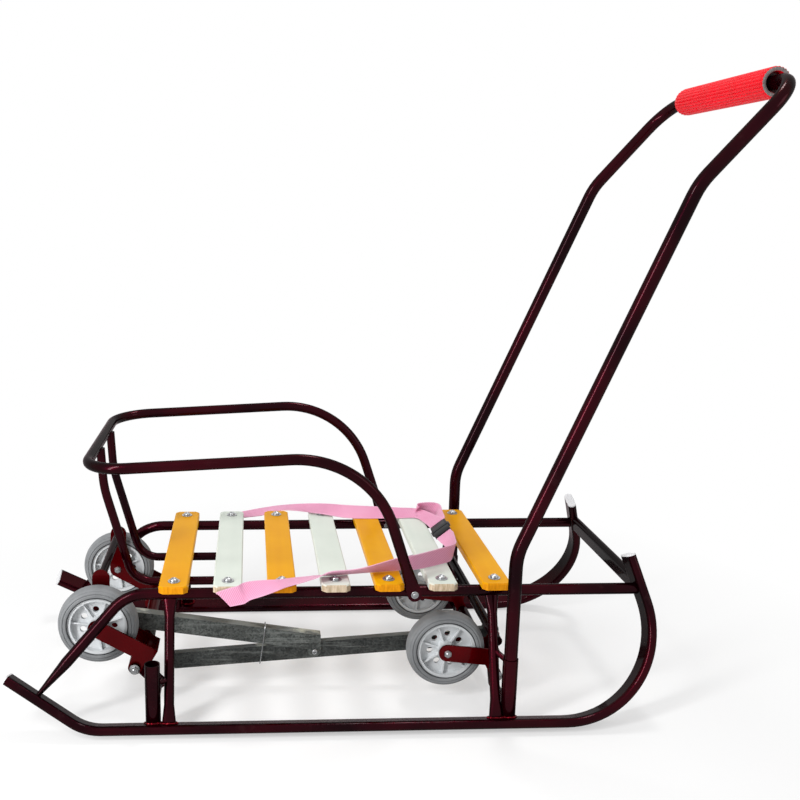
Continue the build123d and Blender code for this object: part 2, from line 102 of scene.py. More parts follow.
class Tree:
    """A node tree and the nodes that are added to it."""

    def __init__(self, tree):
        self.tree = tree
        self.tree.nodes.clear()

    def node(self, kind, settings=None, sockets=None, out=0):
        """Any node: its type, its settings, then the values or links of its sockets."""
        made = self.tree.nodes.new(kind)
        for key, value in (settings or {}).items():
            setattr(made, key, value)
        for key, value in (sockets or {}).items():
            if isinstance(value, Value):
                self.tree.links.new(value.out, made.inputs[key])
            else:
                made.inputs[key].default_value = value
        return Value(self, made.outputs[out]) if made.outputs else None

    def seen(self):
        """1 on rays from the camera, off gloss and through glass, 0 on those that light the object."""
        names = ("Is Camera Ray", "Is Glossy Ray", "Is Transmission Ray")
        first, second, third = [self.node("ShaderNodeLightPath", out=name) for name in names]
        return first.maths("MAXIMUM", first, second.maths("MAXIMUM", second, third))


class Finish(Tree):
    """One material: a Principled surface and the nodes that feed it."""

    def __init__(self, name, **constants):
        self.material = bpy.data.materials.new(name)
        self.material.use_nodes = True
        super().__init__(self.material.node_tree)
        self.constants = {key.replace("_", " "): value for key, value in constants.items()}
        self.place = self.node("ShaderNodeTexCoord", out=3)

    def feed(self, **links):
        """Principled surface with the finish's constants and these inputs, set as the material's surface."""
        sockets = {**self.constants, **{key.replace("_", " "): value for key, value in links.items()}}
        shader = self.node("ShaderNodeBsdfPrincipled", None, sockets)
        self.node("ShaderNodeOutputMaterial", None, {0: shader})

    def noise(self, scale, detail=2.0, stretch=(1, 1, 1), rough=0.5):
        at = self.node("ShaderNodeMapping", None, {"Vector": self.place, "Scale": stretch})
        return self.node("ShaderNodeTexNoise", None,
                         {"Vector": at, "Scale": scale, "Detail": detail, "Roughness": rough})

    def between(self, value, low, high):
        """Value stretched so that low gives 0 and high gives 1, held there outside."""
        return self.node("ShaderNodeMapRange", {"clamp": True}, {0: value, 1: low, 2: high, 3: 0.0, 4: 1.0})

    def mix(self, factor, a, b):
        return self.node("ShaderNodeMix", {"data_type": "RGBA"}, {0: factor, 6: a, 7: b}, out=2)

    def bump(self, height, strength, distance):
        return self.node("ShaderNodeBump", None,
                         {"Height": height, "Strength": strength, "Distance": distance})

    def axis(self, name, vector=None):
        return self.node("ShaderNodeSeparateXYZ", None, {0: vector or self.place}, out="XYZ".index(name))

    def facing(self, name):
        """How far the surface faces along one axis, from its true normal."""
        return self.axis(name, self.node("ShaderNodeNewGeometry", out=3))


def rgb(r, g, b):
    """Linear colour from the 0 to 255 values seen on a screen."""
    c = np.array([r, g, b]) / 255.0
    return tuple(np.where(c <= 0.04045, c / 12.92, ((c + 0.055) / 1.055) ** 2.4)) + (1.0,)


def enamel(name, deep, light, rough):
    """Sprayed metallic paint under thin lacquer: slow colour drift, fine orange peel, faint dull patches."""
    f = Finish(name, Metallic=0.8, Specular_IOR_Level=0.05, Specular_Tint=(0.25, 0.14, 0.17, 1.0),
               Coat_Weight=0.11, Coat_Roughness=0.05)
    drift = f.noise(7.0, 3.0)
    scuff = f.between(f.noise(38.0, 5.0, rough=0.7), 0.60, 0.74)
    colour = f.mix(f.between(drift, 0.35, 0.7), deep, light)
    f.feed(Base_Color=f.mix(scuff * 0.03, colour, rgb(150, 110, 110)),
           Roughness=rough + scuff * 0.08 + f.noise(90.0) * 0.04,
           Normal=f.bump(f.noise(260.0, 2.0), 0.05, 0.0004))
    return f.material


def lacquered_wood(name, deep, light, ends):
    """Painted board: faint brush streaks along it, slow drift, bare or thin paint on its end faces."""
    f = Finish(name, Specular_IOR_Level=0.06)
    streak = f.noise(40.0, 3.0, (1.0, 0.03, 1.0), 0.5)
    patch = f.noise(9.0, 3.0)
    colour = f.mix(f.between(streak * 0.35 + patch * 0.65, 0.36, 0.64), deep, light)
    rings = f.noise(300.0, 3.0, (1.0, 0.2, 0.22), 0.6)
    grain = f.mix(f.between(rings, 0.35, 0.66), ends[0], ends[1])
    bare = f.between(f.facing("Y").size(), 0.45, 0.65)
    f.feed(Base_Color=f.mix(bare, colour, grain), Roughness=0.34 + streak * 0.08 + bare * 0.25,
           Normal=f.bump(streak + rings * bare, 0.10, 0.0004))
    return f.material


def rubber(name, deep, light):
    """Moulded solid rubber: matt grey, faintly dusty, with a grainy skin."""
    f = Finish(name, Specular_IOR_Level=0.3)
    patch = f.noise(24.0, 4.0)
    f.feed(Base_Color=f.mix(f.between(patch, 0.3, 0.7), deep, light), Roughness=0.56 + patch * 0.18,
           Normal=f.bump(f.noise(700.0, 2.0), 0.14, 0.0003))
    return f.material


def moulded(name, deep, light, rough, peel=0.05):
    """Moulded plastic: even colour with a slow drift, fine skin and a little handling wear."""
    f = Finish(name, Specular_IOR_Level=0.2)
    drift = f.noise(18.0, 3.0)
    wear = f.between(f.noise(55.0, 5.0, rough=0.7), 0.55, 0.75)
    f.feed(Base_Color=f.mix(f.between(drift, 0.3, 0.7), deep, light), Roughness=rough + wear * 0.12,
           Normal=f.bump(f.noise(500.0, 2.0), peel, 0.0003))
    return f.material


def galvanised(name, deep, light):
    """Weathered zinc: crystal spangle, painted light on upper faces, pale crusts on upper faces, dark stains,
    scratches along the bar.
    """
    f = Finish(name, Metallic=0.2, Specular_IOR_Level=0.2)
    spangle = f.axis("X", f.node("ShaderNodeTexVoronoi", None, {"Vector": f.place, "Scale": 420.0}, out=1))
    bloom = f.between(f.noise(30.0, 6.0, rough=0.68), 0.42, 0.64)
    scratch = f.between(f.noise(160.0, 4.0, (0.05, 1.0, 1.0), 0.6), 0.56, 0.70)
    stain = f.between(f.noise(46.0, 5.0, (0.35, 1.0, 1.0), 0.7), 0.54, 0.64)
    upper = f.between(f.facing("Z"), 0.5, 0.9)
    crust = f.between(f.noise(26.0, 5.0, (0.5, 1.0, 1.0), 0.66), 0.53, 0.60) * upper
    # Upper faces are pushed far towards the light tone: painted light from above
    colour = f.mix(spangle * 0.45 + bloom * 0.2 + upper * 0.8, deep, light)
    colour = f.mix(scratch * 0.3, colour, rgb(168, 172, 168))
    colour = f.mix(stain * 0.55, colour, rgb(38, 39, 38))
    colour = f.mix(crust * 0.75, colour, rgb(206, 209, 196))
    f.feed(Base_Color=colour, Roughness=0.46 + bloom * 0.2 + stain * 0.12,
           Normal=f.bump(bloom + scratch * 0.4 + crust, 0.16, 0.0004))
    return f.material


def bright_zinc():
    """Bright plated steel, a little uneven, with a painted dark reflection where it turns away from above."""
    f = Finish("bright_zinc", Metallic=0.9)
    patch = f.noise(140.0, 4.0)
    # Faces that turn away from above are mixed towards dark grey: a painted dark reflection
    side = f.between(f.facing("Z").size(), 0.85, 0.35)
    colour = f.mix(patch, rgb(156, 158, 160), rgb(206, 207, 208))
    f.feed(Base_Color=f.mix(side * 0.5, colour, rgb(92, 93, 96)), Roughness=0.20 + patch * 0.18,
           Normal=f.bump(f.noise(600.0, 2.0), 0.06, 0.0003))
    return f.material


def webbing():
    """Woven strap: two crossing twill waves, a denser selvedge, read from the strap's own map."""
    f = Finish("pink_webbing", Sheen_Weight=0.25, Sheen_Roughness=0.5, Specular_IOR_Level=0.2)
    across = f.node("ShaderNodeUVMap", {"uv_map": "strap"})
    u, v = f.axis("X", across), f.axis("Y", across)
    twill = (u * 1900.0 + v * 1900.0).wave() * 0.5 + 0.5
    rows = (v * 3800.0 - u * 1500.0).wave() * 0.5 + 0.5
    selvedge = f.between((u - STRAP_W / 2).size(), 0.0112, 0.0120)
    weave = twill * 0.6 + rows * 0.4
    tone = f.between(weave * 0.8 + f.noise(14.0, 3.0) * 0.4, 0.25, 0.95)
    colour = f.mix(tone, rgb(206, 108, 150), rgb(234, 182, 208))
    colour = f.mix(selvedge * 0.35, colour, rgb(232, 186, 208))
    f.feed(Base_Color=colour, Roughness=0.68 + weave * 0.10, Normal=f.bump(weave, 0.4, 0.0004))
    return f.material


def fluted_foam():
    """Soft ribbed sleeve: red skin, grey cut wall where it faces the ends."""
    f = Finish("red_sleeve", Specular_IOR_Level=0.14)
    cut = f.between(f.facing("Y").size(), 0.72, 0.9)
    drift = f.noise(30.0, 4.0)
    skin = f.mix(f.between(drift, 0.3, 0.7), rgb(220, 4, 24), rgb(234, 10, 34))
    wall = f.mix(f.noise(240.0, 3.0), rgb(96, 88, 88), rgb(150, 142, 140))
    f.feed(Base_Color=f.mix(cut, skin, wall), Roughness=0.36 + drift * 0.16 + cut * 0.2,
           Normal=f.bump(f.noise(420.0, 3.0), 0.05, 0.0003))
    return f.material


FINISHES = {
    "frame_paint": enamel("cherry_enamel", rgb(22, 0, 5), rgb(54, 2, 13), 0.25),
    "bracket_paint": enamel("red_enamel", rgb(72, 0, 3), rgb(92, 0, 6), 0.32),
    "slat_yellow": lacquered_wood("yellow_board", rgb(220, 150, 0), rgb(232, 166, 3),
                                  (rgb(196, 122, 10), rgb(224, 148, 18))),
    "slat_white": lacquered_wood("white_board", rgb(208, 215, 205), rgb(220, 226, 216),
                                 (rgb(168, 148, 122), rgb(206, 188, 164))),
    "tyre": rubber("grey_rubber", rgb(112, 114, 116), rgb(134, 136, 138)),
    "hub_plastic": moulded("pale_hub", rgb(192, 195, 197), rgb(212, 215, 217), 0.36),
    "cap_plastic": moulded("silver_plug", rgb(206, 206, 208), rgb(226, 226, 228), 0.32),
    "link_steel": galvanised("weathered_zinc", rgb(50, 53, 52), rgb(124, 128, 125)),
    "zinc": bright_zinc(),
    "grip_foam": fluted_foam(),
}
BEAD = enamel("weld_enamel", rgb(72, 2, 10), rgb(112, 10, 24), 0.22)
# A darker copy of the weathered zinc, used on the link's lower bar
DARKER_ZINC = galvanised("darker_zinc", rgb(34, 36, 36), rgb(92, 95, 93))
WEBBING = webbing()
BLACK = moulded("black_buckle", rgb(12, 12, 14), rgb(22, 22, 25), 0.38, 0.12)

for part in frame["record"]["subparts"]:
    mesh = nodes[part["node"]].data
    mesh.materials.clear()
    mesh.materials.append(DARKER_ZINC if part["node"] == "link_bar" else FINISHES[part["material_slot"]])


# Surfaces
def quads(n, m, wrap_n, wrap_m):
    """Corners of every cell of an n by m grid; the last row or column meets the first where it wraps."""
    i, j = np.meshgrid(np.arange(n if wrap_n else n - 1), np.arange(m if wrap_m else m - 1), indexing="ij")
    k, l = (i + 1) % n, (j + 1) % m
    return np.stack([i * m + j, i * m + l, k * m + l, k * m + j], -1).reshape(-1, 4)


def piece(name, body, finish, grids, sharp=40.0, maps=None):
    """One object from grids of points, each with its two wraps; doubles at poles and seams are merged."""
    points, faces, start = [], [], 0
    for grid, wrap_n, wrap_m in grids:
        n, m = grid.shape[:2]
        points.append(grid.reshape(-1, 3))
        faces.append(quads(n, m, wrap_n, wrap_m) + start)
        start += n * m
    points, faces = np.concatenate(points), np.concatenate(faces)
    mesh = bpy.data.meshes.new(name)
    mesh.from_pydata(points.tolist(), [], faces.tolist())
    if maps is not None:
        layer = mesh.uv_layers.new(name="strap")
        corner = np.zeros(len(mesh.loops), np.int64)
        mesh.loops.foreach_get("vertex_index", corner)
        layer.data.foreach_set("uv", maps.reshape(-1, 2)[corner].ravel().astype(np.float32))
    work = bmesh.new()
    work.from_mesh(mesh)
    bmesh.ops.remove_doubles(work, verts=work.verts, dist=2e-6)
    bmesh.ops.dissolve_degenerate(work, edges=work.edges, dist=1e-7)
    bmesh.ops.recalc_face_normals(work, faces=work.faces)
    work.to_mesh(mesh)
    work.free()
    mesh.polygons.foreach_set("use_smooth", np.ones(len(mesh.polygons), bool))
    mesh.set_sharp_from_angle(angle=math.radians(sharp))
    mesh.materials.append(finish)
    made = bpy.data.objects.new(name, mesh)
    bpy.context.scene.collection.objects.link(made)
    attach(made, body)
    return made


def turned(points, origin, axis):
    """Points drawn about Z carried so that Z lies along an axis through the origin."""
    turn = Vector((0, 0, 1)).rotation_difference(Vector(axis)).to_matrix()
    return points @ np.array(turn).T + np.array(origin)


def full_turn(count):
    """Even steps round a full turn, in radians."""
    return np.linspace(0, 2 * np.pi, count, endpoint=False)


def squared(angle, power):
    """Cosine and sine of an angle, each pushed towards plus or minus one by a power under one."""
    return [np.sign(w) * np.abs(w) ** power for w in (np.cos(angle), np.sin(angle))]


def lathe(profile, count):
    """Surface of revolution: each (radius, height) of the profile carried round Z."""
    r, h = np.array(profile, float).T
    a = full_turn(count)
    level = np.broadcast_to(h[:, None], (len(r), count))
    return np.stack([r[:, None] * np.cos(a), r[:, None] * np.sin(a), level], -1)


def hexagon(profile):
    """Six-sided prism: at each angle the profile's radius over the cosine to the nearest flat."""
    grid = lathe(profile, HEX_STEPS)
    off = np.abs((full_turn(HEX_STEPS) + np.pi / 6) % (np.pi / 3) - np.pi / 6)
    grid[..., :2] *= (1 / np.cos(off))[None, :, None]
    return grid


def smooth_path(points, count):
    """Catmull-Rom curve through a table of points: each span a cubic with its neighbours' chord slopes."""
    p = np.array(points, float)
    p = np.vstack([2 * p[0] - p[1], p, 2 * p[-1] - p[-2]])
    s = np.linspace(0, len(p) - 3 - 1e-9, count)
    i = s.astype(int)
    t = (s - i)[:, None]
    a, b, c, d = p[i], p[i + 1], p[i + 2], p[i + 3]
    second, third = 2 * a - 5 * b + 4 * c - d, 3 * b - a - 3 * c + d
    return 0.5 * (2 * b + (c - a) * t + second * t ** 2 + third * t ** 3)


def tube(path, radius, count, closed):
    """Round tube: a circle across the path at each point, its first axis kept near a fixed one."""
    ahead = np.roll(path, -1, 0) - np.roll(path, 1, 0)
    if not closed:
        ahead[0], ahead[-1] = path[1] - path[0], path[-1] - path[-2]
    ahead /= np.linalg.norm(ahead, axis=1)[:, None]
    ref = np.eye(3)[np.argmin(np.abs(ahead).max(0))]
    u = np.cross(ahead, ref)
    u /= np.linalg.norm(u, axis=1)[:, None]
    v = np.cross(ahead, u)
    a = full_turn(count)[None, :, None]
    r = np.broadcast_to(radius, (len(path),))[:, None, None]
    ring = path[:, None] + r * (np.cos(a) * u[:, None] + np.sin(a) * v[:, None])
    if closed:
        return ring, True, True
    ends = [np.broadcast_to(p, (1, count, 3)) for p in (path[0], path[-1])]
    return np.concatenate([ends[0], ring, ends[1]]), False, True


def centre(node):
    low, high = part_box(node)
    return (np.array(low) + np.array(high)) / 2


# Where the first slat stands along X in the measured frame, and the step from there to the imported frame
FIRST_SLAT_X = -0.133
SHIFT = FIRST_SLAT_X - centre("slat_1")[0]


def fitted(points):
    """Points measured on the photograph in millimetres, brought to the frame in metres."""
    return np.array(points, float) / 1000 - (SHIFT, 0, 0)


# Fasteners: profiles of (radius, height) in metres
ROUND_STEPS, HEX_STEPS, SHAFT_STEPS = 32, 36, 24
WASHER = [(0, 0), (0.0082, 0), (0.0085, 0.0004), (0.0085, 0.0009), (0.0081, 0.0013), (0.0056, 0.0013)]
DOME = [(0.0056, 0.0014), (0.0058, 0.0018), (0.0056, 0.0028), (0.0047, 0.0042), (0.0036, 0.0049),
        (0.0026, 0.0052), (0.0024, 0.0046), (0.0020, 0.0038), (0, 0.0036)]
PLATE = [(0, 0), (0.0072, 0), (0.0076, 0.0003), (0.0076, 0.0008), (0.0072, 0.0010), (0, 0.0010)]
NUT = [(0, 0.0010), (0.0050, 0.0010), (0.0050, 0.0040), (0.0045, 0.0046), (0, 0.0046)]
STUB = [(0, 0.0046), (0.0033, 0.0046), (0.0033, 0.0058), (0.0027, 0.0064), (0, 0.0064)]


def dome_on(at, axis):
    """Washer and domed head on one axis."""
    return [(turned(lathe(WASHER + DOME, ROUND_STEPS), at, axis), False, True)]


def nut_on(at, axis, washer=True):
    """Six-sided nut and bolt end on one axis, over a washer or not."""
    grids = [hexagon(NUT), lathe(STUB, SHAFT_STEPS)] + ([lathe(PLATE, ROUND_STEPS)] if washer else [])
    return [(turned(grid, at, axis), False, True) for grid in grids]


RAIL_Y, SLATS = 0.14375, 7
for number in range(1, SLATS + 1):
    low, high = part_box(f"slat_{number}")
    for side, hand in SIDES:
        at = ((low.x + high.x) / 2, hand * RAIL_Y, high.z)
        piece(f"slat_bolt_{number}_{side}", "frame", FINISHES["zinc"], dome_on(at, (0, 0, 1)))

AXLE_R, NUT_SETBACK, PIVOT_NUT_OUT = 0.004, 0.0055, 0.005
joints = frame["record"]["behaviour"]["joints"]
pivots = {joint["name"]: joint["pos_m"] for joint in joints if "pos_m" in joint}
for end in ENDS:
    for side, hand in SIDES:
        low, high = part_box(f"axle_{end}_{side}")
        middle, reach = centre(f"axle_{end}_{side}"), (high.y - low.y) / 2
        shaft = lathe([(0, -reach), (AXLE_R, -reach), (AXLE_R, reach), (0, reach)], SHAFT_STEPS)
        grids = [(turned(shaft, middle, (0, 1, 0)), False, True)]
        for way in (-1, 1):
            grids += nut_on(middle + (0, way * (reach - NUT_SETBACK), 0), (0, way, 0), False)
        made = piece(f"axle_nuts_{end}_{side}", f"{end}_carriage", FINISHES["zinc"], grids)
        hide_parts(f"axle_{end}_{side}")
        x, _, z = pivots[f"{end}_wheels_lower"]
        outside = max(abs(corner.y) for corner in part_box(f"fork_{end}_{side}"))
        piece(f"pivot_nut_{end}_{side}", "frame", FINISHES["zinc"],
              nut_on((x, hand * (outside + PIVOT_NUT_OUT), z), (0, hand, 0)))

# Bolt through each end of the hoop: its place, its head and nut across, in millimetres, and its scale
LUG_X, LUG_Z, LUG_HEAD_Y, LUG_NUT_Y, LUG_SCALE = 202.5, 181, 158.75, 136.2, 0.62
for side, hand in SIDES:
    head, tail = LUG_SCALE * lathe(WASHER + DOME, ROUND_STEPS), LUG_SCALE * hexagon(NUT)
    head = turned(head, fitted((LUG_X, hand * LUG_HEAD_Y, LUG_Z)), (0, hand, 0))
    tail = turned(tail, fitted((LUG_X, hand * LUG_NUT_Y, LUG_Z)), (0, -hand, 0))
    piece(f"hoop_bolt_{side}", "frame", FINISHES["zinc"], [(head, False, True), (tail, False, True)])

LINK_SCALE, LINK_SUNK = 0.75, 0.0012
middle, (low, high) = centre("link_bolt"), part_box("link_bolt")
head = LINK_SCALE * lathe([(0, 0.0014)] + DOME, ROUND_STEPS)
grids = [(turned(head, (middle[0], y, middle[2]), (0, way, 0)), False, True)
         for y, way in ((low.y + LINK_SUNK, -1), (high.y - LINK_SUNK, 1))]
piece("link_heads", "link", FINISHES["zinc"], grids)

# Wire tied round the two bars of the link: a squared loop given by its half height and half width
WIRE_X, WIRE_Z, WIRE_R = -9, 69, 0.0009
WIRE_UP, WIRE_ACROSS = (0.0042, 0, 0.0305), (0, 0.0093, 0)
across, rise = squared(full_turn(96), 0.25)
loop = fitted((WIRE_X, middle[1] * 1000, WIRE_Z)) + rise[:, None] * WIRE_UP + across[:, None] * WIRE_ACROSS
piece("link_wire", "link", FINISHES["zinc"], [tube(loop, WIRE_R, 8, True)])

# Weld beads where posts and sockets stand on the runners, in millimetres but for the bead's own radius
LEAN, RUNNER_HALF, RUNNER_Z, BEAD_S = math.radians(20.2), 206.7, 10.13, 7.0
POST_ALONG, POST_ACROSS, SOCKET_HALF, SOCKET_R, BEAD_R = 11.4, 5.4, 197.0, 11.2, 0.0015


def bead(name, x, out, turn, hand, closed):
    """Bead on a runner's upper face: a path along and across that leaning face, rippled by a sine."""
    y = RUNNER_HALF - BEAD_S * math.sin(LEAN) + out * math.cos(LEAN)
    z = RUNNER_Z + BEAD_S * math.cos(LEAN) + out * math.sin(LEAN)
    path = fitted(np.stack([x, hand * y, z], 1))
    radius = BEAD_R * (1 + 0.3 * np.sin(9 * turn))
    piece(name, "frame", BEAD, [tube(path, radius, 10, closed)], sharp=80)


ring, arc = full_turn(90), np.linspace(-0.2, np.pi + 0.2, 60)
for end, post_x, socket_x in (("rear", -139.0, -161.0), ("front", 314.0, 332.6)):
    for side, hand in SIDES:
        along, out = post_x + POST_ALONG * np.cos(ring), POST_ACROSS * np.sin(ring)
        bead(f"post_bead_{end}_{side}", along, out, ring, hand, True)
        along, outside = socket_x + SOCKET_R * np.cos(arc), SOCKET_HALF + SOCKET_R * np.sin(arc)
        out = (outside - RUNNER_HALF + BEAD_S * math.sin(LEAN)) / math.cos(LEAN)
        bead(f"socket_bead_{end}_{side}", along, out, arc, hand, False)

# Tyres with ringed side walls: a flat wall, a round shoulder, grooves cut as narrow bells, a rib on the tread
BORE_R, WALL_R, HALF_W = 0.0423, 0.0469, 0.0135
SHOULDER_R, SHOULDER_H, SHOULDER = 0.0470, 0.0035, 0.010
GROOVES = [(0.0434, 0.0020, 0.0008), (0.0490, 0.0013, 0.0006), (0.0532, 0.0007, 0.0004)]
TREAD = [(0.05705, 0.0024), (0.05705, 0.0010), (0.0573, 0.0005)]
WALL_STEPS, TYRE_STEPS = 30, 112
turn = np.linspace(0, np.pi / 2, 40)
r = np.concatenate([np.linspace(BORE_R, WALL_R, WALL_STEPS), SHOULDER_R + SHOULDER * np.sin(turn)])
h = np.concatenate([np.full(WALL_STEPS, HALF_W), SHOULDER_H + SHOULDER * np.cos(turn)])
for at, depth, width in GROOVES:
    h = h - depth * np.exp(-((r - at) / width) ** 2)
half = np.vstack([np.stack([r, h], 1), TREAD])
tyre_profile = np.vstack([half, half[::-1] * (1, -1), half[:1]])
# Profile of a thin black ring laid in the groove where tyre meets hub: painted shade in the groove
GROOVE_SHADE = np.array([(0.0426, 0.0112), (0.0426, 0.0121), (0.0441, 0.0121), (0.0441, 0.0112), (0.0426, 0.0112)])
for end in ENDS:
    for side, _ in SIDES:
        wheel, middle = f"wheel_{end}_{side}", centre(f"tyre_{end}_{side}")
        tyre, *groove_shades = [(turned(lathe(profile, TYRE_STEPS), middle, (0, 1, 0)), False, True)
                        for profile in (tyre_profile, GROOVE_SHADE * (1, -1), GROOVE_SHADE)]
        made = piece(f"tyre_ring_{end}_{side}", wheel, FINISHES["tyre"], [tyre])
        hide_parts(f"tyre_{end}_{side}")
        # The black ring in the groove by the hub is painted shade
        piece(f"tyre_groove_shade_{end}_{side}", wheel, BLACK, groove_shades)

# Ribbed sleeve of the push handle: a profile of (radius, place along), then flutes cut into its outside
FLUTES, FLUTE_STEPS, FLUTE_DEPTH, FLUTE_RUN = 26, 6, 0.075, 0.002
g_low, g_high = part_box("grip")
reach, girth = (g_high.y - g_low.y) / 2, (g_high.x - g_low.x) / 2
sleeve = [(0.0095, -reach + 0.016), (0.0135, -reach + 0.015), (0.0136, -reach + 0.0006), (0.0140, -reach),
          (girth - 0.0012, -reach), (girth - 0.0003, -reach + 0.0008), (girth, -reach + 0.0030)]
sleeve += [(girth, y) for y in np.linspace(-reach + 0.012, reach - 0.012, 9)]
sleeve += [(girth - 0.0004, reach - 0.005), (girth - 0.0022, reach - 0.0012), (girth - 0.0050, reach),
           (0.0136, reach), (0.0135, reach - 0.015), (0.0095, reach - 0.016), (0.0095, -reach + 0.016)]
body = lathe(sleeve, FLUTES * FLUTE_STEPS)
a = full_turn(FLUTES * FLUTE_STEPS)
r = np.array(sleeve)[:, 0]
cut = np.clip((r - girth + FLUTE_RUN) / FLUTE_RUN, 0, 1)[:, None]
flute = 1 - FLUTE_DEPTH * cut * (1 - np.abs(np.cos(a * FLUTES / 2)))[None, :]
body[..., :2] *= flute[..., None]
made = piece("grip_sleeve", "push_handle", FINISHES["grip_foam"],
             [(turned(body, centre("grip"), (0, 1, 0)), False, True)], sharp=60)
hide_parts("grip")

# Belt: webbing of one width, and the buckle between its halves
STRAP_STEPS = 13


def strap(name, table, count):
    """Webbing ribbon: an edge curve through a table, the strap's width laid from it towards a second curve,
    and a thin wall round both."""
    e, g = [fitted(smooth_path([row[k] for row in table], count)) for k in (0, 1)]
    g = e + STRAP_W * (g - e) / np.linalg.norm(g - e, axis=1)[:, None]
    across = np.linspace(0, 1, STRAP_STEPS)[None, :, None]
    sheet = e[:, None] * (1 - across) + g[:, None] * across
    normal = np.cross(np.gradient((e + g) / 2, axis=0), g - e)
    normal /= np.linalg.norm(normal, axis=1)[:, None]
    lift = normal[:, None] * STRAP_T / 2
    shell = np.concatenate([sheet + lift, (sheet - lift)[:, ::-1]], 1)
    run = np.concatenate([[0], np.cumsum(np.linalg.norm(np.diff((e + g) / 2, axis=0), axis=1))])
    u = np.concatenate([across[0, :, 0], across[0, ::-1, 0]]) * STRAP_W
    uv = np.stack(np.broadcast_arrays(u[None, :], run[:, None]), -1)
    caps = [np.stack([sheet[k] + lift[k], sheet[k] - lift[k]]) for k in (0, -1)]
    cap_uv = [np.stack(np.broadcast_arrays(u[None, :STRAP_STEPS], np.full((2, 1), run[k])), -1)
              for k in (0, -1)]
    uvs = np.concatenate([uv.reshape(-1, 2)] + [c.reshape(-1, 2) for c in cap_uv])
    grids = [(shell, False, True)] + [(c, False, False) for c in caps]
    made = piece(name, "frame", WEBBING, grids, sharp=70, maps=uvs)


# Each row is a point on the first edge and one on the side the strap lies towards, in millimetres
NEAR = [((-72, -152, 187.4), (-46, -152, 187.4)), ((-73, -162, 187.6), (-47, -162, 187.2)),
        ((-72.6, -168.6, 193), (-53.5, -171.5, 172.3)), ((-56, -168.4, 198.8), (-46, -173, 173.3)),
        ((-44.5, -166.8, 201.2), (-35, -174.3, 177.2)), ((-37.5, -160.5, 202.6), (-29, -175, 180.4)),
        ((-26, -156.5, 203.6), (-22, -175.5, 184)), ((-7.8, -154, 203.8), (-6.7, -176, 191.6)),
        ((12.9, -153.2, 204.2), (12.4, -176.5, 200.3)), ((34, -146.5, 203.8), (28.8, -173, 202.8)),
        ((50, -141, 203), (46.6, -166, 205.5)), ((68.5, -135, 202.2), (66, -158, 208.7)),
        ((88, -131, 200.6), (86, -150, 213)), ((129, -123, 200.4), (127, -146, 217)),
        ((188, -113.6, 200.4), (185.4, -125, 224.8)), ((214.5, -110.6, 200.4), (208, -118, 226.3)),
        ((258, -88, 200.6), (254, -92, 228)), ((270, -75, 200.8), (274, -78, 228)),
        ((275, -54, 201.2), (278.5, -58, 226)), ((272, -26, 201.6), (281, -30, 223)),
        ((267, -4, 202), (284, -6, 219.5)), ((264.8, 10, 202.2), (285.2, 10, 218.2))]
FAR = [((-46, 150, 186.8), (-72, 150, 186.8)), ((-44, 160, 186.8), (-62.4, 178.4, 186.8)),
       ((-39, 167, 186.5), (-44.2, 192.4, 188)), ((-7, 168, 190), (-6.6, 193.6, 194.8)),
       ((32.5, 163, 200.8), (33, 189, 201.5)), ((91, 135.5, 203), (92, 160, 213.4)),
       ((140, 118.5, 200.4), (141.6, 140.5, 217.2)), ((215, 116.5, 200.4), (218.5, 141, 212)),
       ((248.6, 116, 200.8), (255.8, 138, 208.6)), ((258, 95, 201.2), (272, 116, 211)),
       ((262, 75, 201.8), (281, 92, 214)), ((264.8, 54, 202.2), (285.2, 54, 218.2))]
TAIL = [((267, 60, 203.5), (286.5, 62, 219)), ((273.6, 94.1, 200.2), (290, 100, 219.5)),
        ((282.9, 128, 196.6), (288.5, 128, 222)), ((268.5, 144, 198), (266, 134, 221.5)),
        ((256, 145, 200.2), (254.5, 130, 220.5)), ((250, 138, 202.5), (254, 119, 218.8))]
strap("belt_right", NEAR, 260)
strap("belt_left", FAR, 200)
strap("belt_tail", TAIL, 90)

# Buckle halves: each row is a place along it, half its width and half its thickness, in millimetres
ROWS = [(-22, 0, 0), (-22, 12, 2.6), (-21, 14.2, 3.8), (0, 14.8, 4.2), (2.6, 14.4, 3.8), (3.2, 12.4, 2.6),
        (4.8, 12.4, 2.6), (5.4, 14.0, 3.6), (19.5, 14.2, 3.4), (22, 12.6, 2.4), (22, 0, 0)]
BUTTON = [(-9, 0, 0), (-8.6, 2.2, 1.6), (-5, 3.2, 2.6), (3, 3.2, 2.6), (7, 2.2, 1.6), (7.4, 0, 0)]
WIDE_WAY, LONG_WAY = np.array((0.788, 0.0, 0.615)), np.array((0.0, -1.0, 0.0))
THICK_WAY = np.cross(WIDE_WAY, LONG_WAY)
BUCKLE_AT, BUTTON_OUT = np.array((275.0, 31.8, 210.2)), 13.6
round_u, round_n = squared(full_turn(48), 0.4)


def bar(rows, middle):
    """Moulded bar: at each row a superellipse of the row's half sizes, across its own two axes."""
    t, wide, thick = np.array(rows, float).T[:, :, None, None]
    off = t * LONG_WAY + wide * round_u[:, None] * WIDE_WAY + thick * round_n[:, None] * THICK_WAY
    return fitted(middle) + off / 1000, False, True


buttons = [bar(BUTTON, BUCKLE_AT + out * WIDE_WAY) for out in (BUTTON_OUT, -BUTTON_OUT)]
piece("belt_buckle", "frame", BLACK, [bar(ROWS, BUCKLE_AT)] + buttons, sharp=50)

